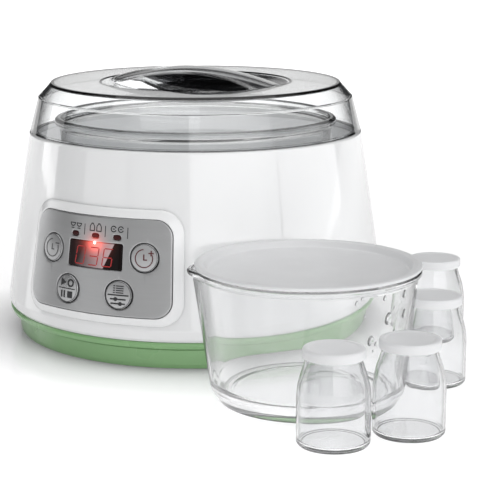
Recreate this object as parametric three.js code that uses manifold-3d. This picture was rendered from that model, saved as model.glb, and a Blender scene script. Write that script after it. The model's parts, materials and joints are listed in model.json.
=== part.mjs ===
// Yogurt maker set: a heated base unit with a clear lid and a glass bowl seated in it, and,
// standing in front of it, a second glass bowl with its cover and four capped glass jars.
// Millimetres, +Z up, the control panel faces -Y. The origin is on the table, at the centre of
// the set's footprint.

import * as THREE from 'three';
import { mergeVertices } from 'three/addons/utils/BufferGeometryUtils.js';
import Module from 'manifold-3d';

const wasm = await Module();
wasm.setup();

// ---- driving dimensions ----

const GAP = 0.3; // between pieces that touch

// where things stand on the table
const UNIT_AT = [-54.8, 38.2];
const BOWL_AT = [82.4, -75.4];
const JARS_AT = [[129.3, -139.2], [155.8, -104.7], [130.8, -13], [93.5, 78.2]];

// body of the unit: a cone that widens downwards
const WIDEST_R = 120;
const WIDEST_Z = 27.5;
const RIM_R = 104.8;
const RIM_Z = 126.6;
const BODY_BOTTOM_Z = 17.6;
const WALL = 2.6;
const SLOPE = (WIDEST_R - RIM_R) / (RIM_Z - WIDEST_Z);
const TILT = Math.atan(SLOPE); // how far a panel normal leans up

// base tray
const FOOT_H = 1.3;
const TRAY_Z = FOOT_H + GAP;
const TRAY_FLOOR_Z = TRAY_Z + 2.6;
const FOOT_R = 8;
const FOOT_RING = 95;
const SCREW_RING = 104.5;
const SCREW_HEAD_R = 3.4;
const SCREW_SHANK_R = 1.6;
const SCREW_LENGTH = 15;
const SCREW_HEAD_Z = 2.9;

// heating chamber and bowl
const CHAMBER_FLOOR_Z = 29;
const CHAMBER_WALL = 1.8;
const SEATED_BOWL_RIM_R = 88.8;
const SERVING_BOWL_RIM_R = 62;

// lid
const LID_TOP_Z = 156.7;
const LID_WALL = 2.4;
const DISH_R = 59.4;
const DISH_DEPTH = 11;
const GRIP_TOP_Z = 166;
const GRIP_HALF_LENGTH = 57;

// control panel, in plan angle from the panel's centre and in height
const BEZEL = { angle: 27, z0: 27.2, z1: 94, corner: 13 };
const PLATE = { angle: 23.8, z0: 32.1, z1: 88.3, corner: 9 };
const WINDOW = { angle: 8.9, z0: 58.6, z1: 73.2, corner: 0.8 };
const LAMPS = { angles: [-7.15, 0, 7.15], z: 77.1, width: 4.4, height: 2.3 };
const BUTTON_R = 8.2;
const BUTTONS = [
  { name: 'time_minus_button', angle: -15.7, z: 66.5 },
  { name: 'time_plus_button', angle: 15.7, z: 66.5 },
  { name: 'start_button', angle: -8.5, z: 44.4 },
  { name: 'function_button', angle: 8.5, z: 44.4 },
];
const BEZEL_FRONT = 3.2; // how far each layer stands out from the cone
const PLATE_FRONT = 3.5;
const PLATE_BACK = -1.6;
const BUTTON_FRONT = 4.4;
const STEM_R = 1.4;
const BOARD_Y = -97; // front face of the upright control board
const BOARD_THICK = 1.6;
const SWITCH_REACH = 5; // switch plunger tip, in front of the board
const PRESS_ROOM = 1.9; // free space between a button's stem and its switch

// power inlet in the back wall
const INLET = { z: 41, halfWidth: 12.2, halfHeight: 8, inner: 101, outer: 119 };
const SOCKET = { halfWidth: 8.4, halfHeight: 4.4, depth: 12.5 };
const PIN = { r: 1.15, length: 9.5, x: 4.3 };

// jars
const JAR_R = 19;
const JAR_H = 48.5;
const JAR_NECK_R = 14.5;

const BIG_SIDES = 36;
const BOWL_SIDES = 32;
const JAR_SIDES = 16;
const SMALL_SIDES = 12;

// ---- materials ----

const paint = (color, roughness, metalness = 0) =>
  new THREE.MeshStandardMaterial({ color, roughness, metalness });
const clear = (color, opacity, roughness = 0.05) =>
  new THREE.MeshStandardMaterial({ color, roughness, metalness: 0, transparent: true, opacity });

const MATERIAL = {
  whiteShell: () => paint(0xf2f3f3, 0.18),
  greenTray: () => paint(0x84b67e, 0.3),
  rubber: () => paint(0x2c2d2e, 0.85),
  liner: () => paint(0xd8dadb, 0.4),
  aluminium: () => paint(0xb9bcc0, 0.4, 0.9),
  steel: () => paint(0xc2c5c9, 0.3, 1),
  mica: () => paint(0xb08d5a, 0.7),
  felt: () => paint(0xe6e1d4, 0.95),
  ceramic: () => paint(0xe9e2d2, 0.6),
  board: () => paint(0x1f6b3c, 0.5),
  darkPlastic: () => paint(0x1c1d1f, 0.5),
  relayBlue: () => paint(0x2b5fa8, 0.45),
  capacitor: () => paint(0x23283c, 0.35),
  copper: () => paint(0xb87333, 0.35, 1),
  bezel: () => paint(0xe4e6e8, 0.25),
  silverPlate: () => paint(0xb4b7ba, 0.35, 0.7),
  display: () => paint(0x120506, 0.08),
  lamp: () => paint(0x8c1d1d, 0.2),
  button: () => paint(0xc4c7ca, 0.3, 0.6),
  clearLid: () => clear(0xf4f7f8, 0.25),
  glass: () => clear(0xeef4f4, 0.3),
  frosted: () => clear(0xe9ecee, 0.85, 0.45),
};

// ---- shape helpers ----

const radians = (degrees) => (degrees * Math.PI) / 180;
const bodyRadius = (z) => WIDEST_R - (z - WIDEST_Z) * SLOPE;

/** Points of an elliptical arc in the (r, z) half plane, angles in degrees. */
function arc(r, z, radiusR, radiusZ, from, to, steps) {
  const points = [];
  for (let i = 0; i <= steps; i += 1) {
    const angle = radians(from + ((to - from) * i) / steps);
    points.push([r + radiusR * Math.cos(angle), z + radiusZ * Math.sin(angle)]);
  }
  return points;
}

function signedVolume(geometry) {
  const a = new THREE.Vector3();
  const b = new THREE.Vector3();
  const c = new THREE.Vector3();
  const { position } = geometry.attributes;
  const index = geometry.index.array;
  let volume = 0;
  for (let i = 0; i < index.length; i += 3) {
    a.fromBufferAttribute(position, index[i]);
    b.fromBufferAttribute(position, index[i + 1]);
    c.fromBufferAttribute(position, index[i + 2]);
    volume += a.dot(b.cross(c)) / 6;
  }
  return volume;
}

/** One closed skin with shared vertices, no collapsed triangles and its faces pointing out. */
function closedSkin(geometry) {
  const bare = geometry.clone();
  bare.deleteAttribute('normal');
  bare.deleteAttribute('uv');
  const skin = mergeVertices(bare, 1e-4);
  const index = skin.index.array;
  const kept = [];
  for (let i = 0; i < index.length; i += 3) {
    const [p, q, s] = [index[i], index[i + 1], index[i + 2]];
    if (p !== q && q !== s && s !== p) kept.push(p, q, s);
  }
  skin.setIndex(kept);
  if (signedVolume(skin) < 0) {
    for (let i = 0; i < kept.length; i += 3) [kept[i], kept[i + 1]] = [kept[i + 1], kept[i]];
    skin.setIndex(kept);
  }
  return skin;
}

function toSolid(geometry) {
  const skin = closedSkin(geometry);
  return new wasm.Manifold(new wasm.Mesh({
    numProp: 3,
    vertProperties: new Float32Array(skin.attributes.position.array),
    triVerts: new Uint32Array(skin.index.array),
  }));
}

function toGeometry(solid) {
  const { vertProperties, triVerts } = solid.getMesh();
  const geometry = new THREE.BufferGeometry();
  geometry.setAttribute('position', new THREE.BufferAttribute(vertProperties.slice(), 3));
  geometry.setIndex(new THREE.BufferAttribute(triVerts.slice(), 1));
  return geometry;
}

/** Turned solid about Z from (r, z) points; its first flat side's corner lies on -Y. */
function turned(points, sides = BIG_SIDES) {
  const profile = points.map(([r, z]) => new THREE.Vector2(Math.max(r, 0), z));
  return new THREE.LatheGeometry(profile, sides).rotateX(Math.PI / 2);
}

/** Turned ring: the profile closes on itself. */
const ring = (points, sides = BIG_SIDES) => turned([...points, points[0]], sides);

function disc(r, z0, z1, sides = SMALL_SIDES) {
  return turned([[0, z0], [r, z0], [r, z1], [0, z1]], sides);
}

function block(x0, x1, y0, y1, z0, z1) {
  return new THREE.BoxGeometry(x1 - x0, y1 - y0, z1 - z0)
    .translate((x0 + x1) / 2, (y0 + y1) / 2, (z0 + z1) / 2);
}

/** Four-sided outline with rounded corners, its bottom edge wider than its top. */
function roundedOutline(halfBottom, halfTop, z0, z1, corner) {
  const shape = new THREE.Shape();
  const lean = (halfBottom - halfTop) / (z1 - z0);
  shape.moveTo(-halfBottom + corner, z0);
  shape.lineTo(halfBottom - corner, z0);
  shape.quadraticCurveTo(halfBottom, z0, halfBottom - lean * corner, z0 + corner);
  shape.lineTo(halfTop + lean * corner, z1 - corner);
  shape.quadraticCurveTo(halfTop, z1, halfTop - corner, z1);
  shape.lineTo(-halfTop + corner, z1);
  shape.quadraticCurveTo(-halfTop, z1, -halfTop - lean * corner, z1 - corner);
  shape.lineTo(-halfBottom + lean * corner, z0 + corner);
  shape.quadraticCurveTo(-halfBottom, z0, -halfBottom + corner, z0);
  return shape;
}

/** An (x, z) outline pushed through along Y from y0 to y1. */
function prismAlongY(shape, y0, y1, curveSteps = 4) {
  return new THREE.ExtrudeGeometry(shape, { depth: y1 - y0, bevelEnabled: false, curveSegments: curveSteps })
    .rotateX(Math.PI / 2)
    .translate(0, y1, 0);
}

// ---- control panel layers: each is a piece of a cone cut to an outline ----

const FRONT_Y = [-140, -60];

function panelOutline({ angle, z0, z1, corner }, grow = 0) {
  const half = (z) => bodyRadius(z) * Math.sin(radians(angle)) + grow;
  return roundedOutline(half(z0), half(z1), z0 - grow, z1 + grow, corner + grow);
}

function coneLayer(back, front) {
  const [z0, z1] = [15, 110];
  return toSolid(ring([
    [bodyRadius(z0) + back, z0],
    [bodyRadius(z0) + front, z0],
    [bodyRadius(z1) + front, z1],
    [bodyRadius(z1) + back, z1],
  ]));
}

const cutter = (shape, curveSteps) => toSolid(prismAlongY(shape, ...FRONT_Y, curveSteps));

function lampOutline(angle, grow = 0) {
  const x = bodyRadius(LAMPS.z) * Math.sin(radians(angle));
  const halfWidth = LAMPS.width / 2 + grow;
  const halfHeight = LAMPS.height / 2 + grow;
  const shape = new THREE.Shape();
  shape.absarc(x + halfWidth - halfHeight, LAMPS.z, halfHeight, -Math.PI / 2, Math.PI / 2);
  shape.absarc(x - halfWidth + halfHeight, LAMPS.z, halfHeight, Math.PI / 2, Math.PI * 1.5);
  return shape;
}

/** Moves a solid made about +Z, with z = 0 on the cone, to a button's place, +Z pointing out. */
function toButtonPlace(geometry, { angle, z }) {
  const turn = radians(angle);
  const normal = new THREE.Vector3(
    Math.sin(turn) * Math.cos(TILT), -Math.cos(turn) * Math.cos(TILT), Math.sin(TILT));
  const facing = new THREE.Quaternion().setFromUnitVectors(new THREE.Vector3(0, 0, 1), normal);
  const radius = bodyRadius(z);
  return geometry.applyQuaternion(facing)
    .translate(radius * Math.sin(turn), -radius * Math.cos(turn), z);
}

/** How far behind the cone a button's stem ends, measured along the button's own axis. */
function stemDepth({ angle, z }) {
  const along = Math.cos(radians(angle)) * Math.cos(TILT);
  const tipY = BOARD_Y - SWITCH_REACH - PRESS_ROOM;
  return (bodyRadius(z) * Math.cos(radians(angle)) + tipY) / along;
}

/** Where a button's axis meets the plane of the switch tips. */
function switchPlace(button) {
  const turn = radians(button.angle);
  const depth = stemDepth(button) + PRESS_ROOM;
  const radius = bodyRadius(button.z) - depth * Math.cos(TILT);
  return { x: radius * Math.sin(turn), z: button.z - depth * Math.sin(TILT) };
}

function panelBezel() {
  return toGeometry(coneLayer(GAP, BEZEL_FRONT)
    .intersect(cutter(panelOutline(BEZEL), 6))
    .subtract(cutter(panelOutline(PLATE, GAP), 6)));
}

function panelPlate() {
  let plate = coneLayer(PLATE_BACK, PLATE_FRONT)
    .intersect(cutter(panelOutline(PLATE), 6))
    .subtract(cutter(panelOutline(WINDOW, GAP), 3));
  for (const angle of LAMPS.angles) plate = plate.subtract(cutter(lampOutline(angle, GAP), 5));
  for (const button of BUTTONS) {
    plate = plate.subtract(toSolid(toButtonPlace(disc(BUTTON_R + GAP, -6, 6, 20), button)));
  }
  return toGeometry(plate);
}

const displayWindow = () =>
  toGeometry(coneLayer(-1.2, PLATE_FRONT + 0.3).intersect(cutter(panelOutline(WINDOW), 3)));

const lampLens = (angle) =>
  toGeometry(coneLayer(-2.6, PLATE_FRONT + 0.2).intersect(cutter(lampOutline(angle), 5)));

function panelButton(button) {
  const cap = { back: -3, edge: 0.7 };
  return toButtonPlace(turned([
    [0, -stemDepth(button)],
    [STEM_R, -stemDepth(button)],
    [STEM_R, cap.back],
    [BUTTON_R, cap.back],
    [BUTTON_R, BUTTON_FRONT - cap.edge],
    [BUTTON_R - cap.edge, BUTTON_FRONT],
    [0, BUTTON_FRONT],
  ], 20), button);
}

// ---- casing ----

/** Everything within the housing's outer skin, less 1 mm: inner ribs are trimmed to it. */
const insideOfWall = () => toSolid(turned([
  [0, BODY_BOTTOM_Z],
  [bodyRadius(BODY_BOTTOM_Z) - 4.2, BODY_BOTTOM_Z],
  [bodyRadius(WIDEST_Z) - 1, WIDEST_Z],
  [bodyRadius(RIM_Z) - 1, RIM_Z - 1],
  [0, RIM_Z - 1],
]));

function outerHousing() {
  const shelfZ = 117;
  const inner = (z) => bodyRadius(z) - WALL;
  const shell = toSolid(ring([
    [WIDEST_R - 2.8, BODY_BOTTOM_Z],
    [WIDEST_R - 1.3, BODY_BOTTOM_Z + 1.6],
    [WIDEST_R - 0.4, BODY_BOTTOM_Z + 5],
    [WIDEST_R, WIDEST_Z],
    [bodyRadius(RIM_Z - 1.4), RIM_Z - 1.4],
    [RIM_R - 0.5, RIM_Z - 0.4],
    [RIM_R - 1.2, RIM_Z],
    [101.4, RIM_Z],
    [101.4, shelfZ + 2],
    [97, shelfZ + 2],
    [97, shelfZ],
    [inner(shelfZ) - 0.6, shelfZ],
    [inner(shelfZ - 2), shelfZ - 2],
    [inner(WIDEST_Z), WIDEST_Z],
    [WIDEST_R - 2.8 - WALL, BODY_BOTTOM_Z],
  ]));
  const wall = insideOfWall();
  const boardBack = BOARD_Y + BOARD_THICK + GAP;
  let housing = shell.subtract(cutter(panelOutline(PLATE, 0.6), 6));
  for (const [x0, x1] of [[-70, -38], [38, 70]]) {
    const boardRest = block(x0, x1, boardBack, boardBack + 2.4, 38, 82);
    housing = housing.add(toSolid(boardRest).intersect(wall));
  }
  for (const [x, y] of screwPlaces()) {
    const web = block(0, 20, -1.2, 1.2, 22.5, 30)
      .rotateZ(Math.atan2(y, x))
      .translate(x, y, 0);
    const bore = disc(SCREW_SHANK_R + GAP, 0, 21).translate(x, y, 0);
    housing = housing
      .add(toSolid(disc(4.2, 9.3, 30).translate(x, y, 0)))
      .add(toSolid(web).intersect(wall))
      .subtract(toSolid(bore));
  }
  housing = housing.subtract(toSolid(block(
    -INLET.halfWidth - GAP, INLET.halfWidth + GAP, 105, 130,
    INLET.z - INLET.halfHeight - GAP, INLET.z + INLET.halfHeight + GAP)));
  return toGeometry(housing);
}

function screwPlaces() {
  return [45, 135, 225, 315].map((degrees) => [
    SCREW_RING * Math.cos(radians(degrees)), SCREW_RING * Math.sin(radians(degrees))]);
}

function housingScrew([x, y]) {
  return turned([
    [0, SCREW_HEAD_Z],
    [SCREW_HEAD_R, SCREW_HEAD_Z],
    [SCREW_HEAD_R, SCREW_HEAD_Z + 2],
    [SCREW_SHANK_R, SCREW_HEAD_Z + 2],
    [SCREW_SHANK_R, SCREW_HEAD_Z + SCREW_LENGTH],
    [0, SCREW_HEAD_Z + SCREW_LENGTH + 1.4],
  ], 12).translate(x, y, 0);
}

function baseTray() {
  const lipTop = 22;
  let tray = toSolid(turned([
    [0, TRAY_Z],
    [110.6, TRAY_Z],
    [112, TRAY_Z + 1.4],
    [113, 12.4],
    [113.4, 13.3],
    [118.8, 13.3],
    [119.6, 14.2],
    [119.5, 15.8],
    [118.2, BODY_BOTTOM_Z - 0.4],
    [114, BODY_BOTTOM_Z - 0.4],
    [114, lipTop],
    [112, lipTop],
    [110.6, 12],
    [109.6, TRAY_FLOOR_Z],
    [0, TRAY_FLOOR_Z],
  ]));
  const supportRing = ring([[54, 3], [56, 3], [56, 16.7], [54, 16.7]], 24);
  tray = tray.add(toSolid(supportRing)).add(toSolid(disc(5.5, 3, 8.7)));
  for (const x of [-24, 24]) {
    for (const y of [78, 96]) tray = tray.add(toSolid(disc(3, 3, 9.7, 12).translate(x, y, 0)));
  }
  for (const [x, y] of screwPlaces()) {
    tray = tray
      .add(toSolid(disc(5.4, 3, 9).translate(x, y, 0)))
      .subtract(toSolid(disc(SCREW_HEAD_R + 0.4, 0, SCREW_HEAD_Z + 2 + GAP).translate(x, y, 0)))
      .subtract(toSolid(disc(SCREW_SHANK_R + GAP, 0, 20, 12).translate(x, y, 0)));
  }
  return toGeometry(tray);
}

const foot = (degrees) => turned([
  [0, 0],
  [FOOT_R - 0.5, 0],
  [FOOT_R, 0.5],
  [FOOT_R, FOOT_H],
  [0, FOOT_H],
], SMALL_SIDES).translate(
  FOOT_RING * Math.cos(radians(degrees)), FOOT_RING * Math.sin(radians(degrees)), 0);

function heatingChamber() {
  const floor = CHAMBER_FLOOR_Z;
  const corner = { r: 9, z: 9.5 };
  const mouth = 88.8;
  const foot1 = 79.6;
  return turned([
    [0, floor],
    ...arc(foot1 - corner.r, floor + corner.z, corner.r, corner.z, -90, 0, 3),
    [mouth, 113],
    [mouth + 0.8, 115.4],
    [91.4, 117],
    [100.4, 123.1],
    [101.1, 122.6],
    [101.1, 119.3],
    [96.4, 119.3],
    [mouth + CHAMBER_WALL + 0.6, 114.6],
    [mouth + CHAMBER_WALL, 113],
    ...arc(foot1 - corner.r, floor + corner.z, corner.r + CHAMBER_WALL, corner.z + CHAMBER_WALL, 0, -90, 3),
    [0, floor - CHAMBER_WALL],
  ]);
}

// ---- heater and electronics ----

const PLATE_TOP_Z = CHAMBER_FLOOR_Z - CHAMBER_WALL - GAP;
const heaterPlate = () => ring([
  [5, PLATE_TOP_Z - 2.5], [62, PLATE_TOP_Z - 2.5], [62, PLATE_TOP_Z], [5, PLATE_TOP_Z]], 24);
const heatingElement = () => ring(arc(44, 22.4, 3, 1.6, 0, 300, 5), 24);
const insulationDisc = () => ring([[6, 17], [60, 17], [60, 20.4], [6, 20.4]], 24);
const temperatureSensor = () => turned([
  [0, 13.6], [3, 13.6], [3, 18], [4.4, 18], [4.4, PLATE_TOP_Z - 0.6], [3.8, PLATE_TOP_Z], [0, PLATE_TOP_Z]], SMALL_SIDES);
const sensorClip = () => turned([
  [0, 9], [5.4, 9], [5.4, 16], [4.8, 16], [4.8, 13], [3.4, 13], [3.4, 10.4], [0, 10.4]], SMALL_SIDES);
const thermalFuse = () => disc(1.3, -5.5, 5.5, 12).rotateX(Math.PI / 2).translate(27, 0, 22.3);

const powerBoard = () => block(-30, 30, 74, 100, 10, 10 + BOARD_THICK);
function transformer() {
  const core = block(-25, -6, 79, 95, 12, 24);
  const coil = block(-23, -8, 77, 97, 13.5, 22.5);
  return toGeometry(toSolid(core).add(toSolid(coil)));
}
const relay = () => toGeometry(toSolid(block(0, 15.5, 84, 94.5, 12, 23.5))
  .subtract(toSolid(block(12, 20, 80, 98, 22.3, 30))));
const capacitor = () => turned([
  [0, 12], [4, 12], [4, 22.4], [3.4, 23], [0, 23]], SMALL_SIDES).translate(22.5, 82, 0);

const controlBoard = () => block(-44, 44, BOARD_Y, BOARD_Y + BOARD_THICK, 36, 84);
function displayModule() {
  const [z0, z1] = [WINDOW.z0 - 0.5, WINDOW.z1 + 0.4];
  const body = toSolid(block(-19, 19, BOARD_Y - 11.3, BOARD_Y - GAP, z0, z1));
  return toGeometry(body.subtract(toSolid(block(-17.4, 17.4, BOARD_Y - 14, BOARD_Y - 10.4, z0 + 1.4, z1 - 1.4))));
}
const buzzer = () => ring([[1.2, 0], [6, 0], [6, 6], [1.2, 6]], SMALL_SIDES)
  .rotateX(Math.PI / 2).translate(0, BOARD_Y - GAP, 43);

function tactSwitch(button) {
  const { x, z } = switchPlace(button);
  const [bodyBack, bodyFront] = [BOARD_Y - GAP, BOARD_Y - 3.6];
  const plunger = disc(1.6, 0, SWITCH_REACH, 12).rotateX(Math.PI / 2).translate(x, BOARD_Y - GAP, z);
  return toGeometry(toSolid(block(x - 3, x + 3, bodyFront, bodyBack, z - 3, z + 3))
    .add(toSolid(plunger).subtract(toSolid(block(x - 9, x + 9, BOARD_Y - SWITCH_REACH - 4,
      BOARD_Y - SWITCH_REACH, z - 9, z + 9)))));
}

function powerInlet() {
  const { z, halfWidth, halfHeight, inner, outer } = INLET;
  const body = toSolid(block(-halfWidth, halfWidth, inner, outer, z - halfHeight, z + halfHeight));
  const mouth = prismAlongY(
    roundedOutline(SOCKET.halfWidth, SOCKET.halfWidth, z - SOCKET.halfHeight, z + SOCKET.halfHeight, 4.2),
    outer - SOCKET.depth, outer + 5);
  return toGeometry(body.subtract(toSolid(mouth)));
}

const inletPin = (side) => turned([
  [0, 0], [PIN.r, 0], [PIN.r, PIN.length - 0.8], [PIN.r * 0.5, PIN.length], [0, PIN.length]], 12)
  .rotateX(-Math.PI / 2)
  .translate(side * PIN.x, INLET.outer - SOCKET.depth + GAP, INLET.z);

// ---- lid ----

const dishZ = (r) => LID_TOP_Z - 0.7 - (DISH_DEPTH - 0.7) * (1 - (r / DISH_R) ** 2.2);

function gripOutline(inset) {
  const waist = 9 - inset;
  const end = 18 - inset;
  const half = GRIP_HALF_LENGTH + 3 - inset * 2.2;
  const shape = new THREE.Shape();
  shape.moveTo(-half, -end);
  shape.quadraticCurveTo(0, -2 * waist + end, half, -end);
  shape.lineTo(half, end);
  shape.quadraticCurveTo(0, 2 * waist - end, -half, end);
  shape.closePath();
  return shape;
}

function gripArch(inset) {
  const half = GRIP_HALF_LENGTH + 5;
  const ends = LID_TOP_Z - 1.2 - inset;
  const shape = new THREE.Shape();
  shape.moveTo(-half, 135);
  shape.lineTo(half, 135);
  shape.lineTo(half, ends);
  shape.quadraticCurveTo(0, 2 * (GRIP_TOP_Z - inset) - ends, -half, ends);
  shape.closePath();
  return shape;
}

/** A raised grip across the dish, wide at its ends and narrow at its middle. */
function gripSolid(inset) {
  const plan = new THREE.ExtrudeGeometry(gripOutline(inset), { depth: 40, bevelEnabled: false, curveSegments: 8 })
    .translate(0, 0, 135);
  return toSolid(plan).intersect(toSolid(prismAlongY(gripArch(inset), -40, 40, 12)));
}

function clearLid() {
  const radii = [0, 20, 34, 45, 54];
  const shell = toSolid(turned([
    ...radii.map((r) => [r, dishZ(r) - LID_WALL]),
    [61, LID_TOP_Z - LID_WALL],
    [89.4, LID_TOP_Z - LID_WALL],
    [96.3, 147.2],
    [101.2, 129.2],
    [99, 127],
    [99, 123.6],
    [101, 123.6],
    [101, RIM_Z + GAP],
    [RIM_R - 0.4, RIM_Z + GAP],
    [99, 147.4],
    [98.3, 148.6],
    [92.2, 155.5],
    [90.6, LID_TOP_Z],
    [61, LID_TOP_Z],
    [DISH_R, dishZ(DISH_R)],
    ...radii.slice().reverse().map((r) => [r, dishZ(r)]),
  ]));
  const aboveDish = toSolid(turned([
    ...radii.map((r) => [r, dishZ(r) - LID_WALL / 2]),
    [DISH_R + 0.4, LID_TOP_Z - 1.2],
    [DISH_R + 0.4, GRIP_TOP_Z + 5],
    [0, GRIP_TOP_Z + 5],
  ]));
  const belowTop = toSolid(disc(DISH_R - 3.6, 130, 190, BIG_SIDES));
  const hollow = gripSolid(LID_WALL).intersect(belowTop);
  return toGeometry(shell.add(gripSolid(0).intersect(aboveDish)).subtract(hollow));
}

// ---- glassware: both bowls share one profile, scaled by the radius of the rim ----

function bowlProfile(rimRadius, baseZ) {
  const drawnRim = 88.8;
  const outerCorner = arc(67.6, 7.8, 8, 7.8, -90, 0, 3);
  const innerCorner = arc(62.5, 16, 9, 9, 0, -90, 3);
  return [
    [0, 0],
    ...outerCorner,
    [86.2, 101.5],
    [88.4, 103],
    [88.8, 104.8],
    [87.8, 106.4],
    [85.6, 106.5],
    [84.4, 105],
    [84, 101],
    ...innerCorner,
    [0, 7],
  ].map(([r, z]) => [(r * rimRadius) / drawnRim, baseZ + (z * rimRadius) / drawnRim]);
}

const BOWL_H = 106.5 * (SERVING_BOWL_RIM_R / 88.8);

const seatedBowl = () => turned(bowlProfile(SEATED_BOWL_RIM_R, CHAMBER_FLOOR_Z + GAP));

/** The serving bowl's rim is drawn out into a small pouring lip. */
function servingBowl() {
  const lip = { direction: radians(210), halfAngle: radians(17), reach: 4.5, from: 0.62 };
  const bowl = turned(bowlProfile(SERVING_BOWL_RIM_R, 0), BOWL_SIDES);
  const { position } = bowl.attributes;
  const point = new THREE.Vector3();
  for (let i = 0; i < position.count; i += 1) {
    point.fromBufferAttribute(position, i);
    const off = Math.atan2(point.y, point.x) - lip.direction;
    const apart = Math.abs(Math.atan2(Math.sin(off), Math.cos(off)));
    const height = Math.max(0, point.z / BOWL_H - lip.from) / (1 - lip.from);
    const radius = Math.hypot(point.x, point.y);
    if (apart > lip.halfAngle || height === 0 || radius < 1) continue;
    const push = lip.reach * Math.cos((apart / lip.halfAngle) * (Math.PI / 2)) ** 2 * height ** 2;
    position.setXY(i, point.x * (1 + push / radius), point.y * (1 + push / radius));
  }
  return bowl;
}

function bowlCover() {
  const seat = BOWL_H + GAP;
  return turned([
    [0, seat - 3.8],
    [56, seat - 3.8],
    [57.6, seat - 2.6],
    [57.9, seat],
    [61.6, seat],
    [62, seat + 0.6],
    [61.5, seat + 1.6],
    [60, seat + 1.9],
    [57.4, seat + 1.7],
    [56, seat + 0.2],
    [55.2, seat - 1.6],
    [53.8, seat - 2.1],
    [0, seat - 2.1],
  ], BOWL_SIDES);
}

function jar() {
  const neckZ = 44.4;
  const shoulderZ = 25;
  const wall = 1.8;
  return turned([
    [0, 1],
    [13, 0.7],
    [14.6, 0],
    [17.2, 0],
    [JAR_R - 0.4, 1.4],
    [JAR_R, 3.6],
    ...arc(JAR_NECK_R - 0.4, shoulderZ, JAR_R - JAR_NECK_R + 0.4, neckZ - shoulderZ, 0, 72, 3),
    [JAR_NECK_R, neckZ],
    [JAR_NECK_R, JAR_H - 0.8],
    [JAR_NECK_R - 0.8, JAR_H],
    [JAR_NECK_R - wall, JAR_H - 0.8],
    [JAR_NECK_R - wall, neckZ - 1],
    ...arc(JAR_NECK_R - wall - 0.4, shoulderZ, JAR_R - JAR_NECK_R + 0.4, neckZ - shoulderZ - 2, 66, 0, 2),
    [JAR_R - wall, 6],
    [JAR_R - wall - 1.6, 4],
    [0, 3.6],
  ], JAR_SIDES);
}

const jarCap = () => turned([
  [0, JAR_H + GAP],
  [JAR_NECK_R + GAP, JAR_H + GAP],
  [JAR_NECK_R + GAP, 45.4],
  [JAR_NECK_R + 1.5, 45.4],
  [JAR_NECK_R + 1.6, 49.6],
  [JAR_NECK_R + 1, 50.5],
  [0, 50.5],
], JAR_SIDES);

// ---- assembly ----

function put(group, name, geometry, material) {
  const mesh = new THREE.Mesh(closedSkin(geometry), material);
  mesh.name = name;
  group.add(mesh);
}

function addCasing(unit) {
  put(unit, 'base_tray', baseTray(), MATERIAL.greenTray());
  [0, 90, 180, 270].forEach((degrees, i) => put(unit, `foot_${i + 1}`, foot(degrees), MATERIAL.rubber()));
  put(unit, 'outer_housing', outerHousing(), MATERIAL.whiteShell());
  screwPlaces().forEach((at, i) => put(unit, `housing_screw_${i + 1}`, housingScrew(at), MATERIAL.steel()));
  put(unit, 'heating_chamber', heatingChamber(), MATERIAL.liner());
}

function addHeater(unit) {
  put(unit, 'heater_plate', heaterPlate(), MATERIAL.aluminium());
  put(unit, 'heating_element', heatingElement(), MATERIAL.mica());
  put(unit, 'insulation_disc', insulationDisc(), MATERIAL.felt());
  put(unit, 'temperature_sensor', temperatureSensor(), MATERIAL.aluminium());
  put(unit, 'sensor_clip', sensorClip(), MATERIAL.steel());
  put(unit, 'thermal_fuse', thermalFuse(), MATERIAL.ceramic());
}

function addElectronics(unit) {
  put(unit, 'power_board', powerBoard(), MATERIAL.board());
  put(unit, 'transformer', transformer(), MATERIAL.copper());
  put(unit, 'relay', relay(), MATERIAL.relayBlue());
  put(unit, 'capacitor', capacitor(), MATERIAL.capacitor());
  put(unit, 'control_board', controlBoard(), MATERIAL.board());
  put(unit, 'display_module', displayModule(), MATERIAL.darkPlastic());
  put(unit, 'buzzer', buzzer(), MATERIAL.darkPlastic());
  BUTTONS.forEach((button, i) => put(unit, `tact_switch_${i + 1}`, tactSwitch(button), MATERIAL.darkPlastic()));
  put(unit, 'power_inlet', powerInlet(), MATERIAL.darkPlastic());
  put(unit, 'inlet_pin_left', inletPin(-1), MATERIAL.steel());
  put(unit, 'inlet_pin_right', inletPin(1), MATERIAL.steel());
}

function addPanel(unit) {
  put(unit, 'panel_bezel', panelBezel(), MATERIAL.bezel());
  put(unit, 'panel_plate', panelPlate(), MATERIAL.silverPlate());
  put(unit, 'display_window', displayWindow(), MATERIAL.display());
  LAMPS.angles.forEach((angle, i) => put(unit, `lamp_lens_${i + 1}`, lampLens(angle), MATERIAL.lamp()));
  for (const button of BUTTONS) put(unit, button.name, panelButton(button), MATERIAL.button());
}

const set = new THREE.Group();

const unit = new THREE.Group();
unit.position.set(...UNIT_AT, 0);
addCasing(unit);
addHeater(unit);
addElectronics(unit);
addPanel(unit);
put(unit, 'clear_lid', clearLid(), MATERIAL.clearLid());
put(unit, 'seated_bowl', seatedBowl(), MATERIAL.glass());
set.add(unit);

const serving = new THREE.Group();
serving.position.set(...BOWL_AT, 0);
put(serving, 'serving_bowl', servingBowl(), MATERIAL.glass());
put(serving, 'bowl_cover', bowlCover(), MATERIAL.frosted());
set.add(serving);

JARS_AT.forEach((at, i) => {
  const place = new THREE.Group();
  place.position.set(...at, 0);
  put(place, `jar_${i + 1}`, jar(), MATERIAL.glass());
  put(place, `jar_cap_${i + 1}`, jarCap(), MATERIAL.frosted());
  set.add(place);
});

export default set;
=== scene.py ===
"""Yogurt maker set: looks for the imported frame.

The unit stands at the left, with its curved control panel facing -Y, a clear lid and a glass bowl
inside. A covered glass bowl and four capped jars stand in front of it. Metres in the scene; the
drawings of the pieces are in millimetres about each piece's own axis.
"""
import json
import math

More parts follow.
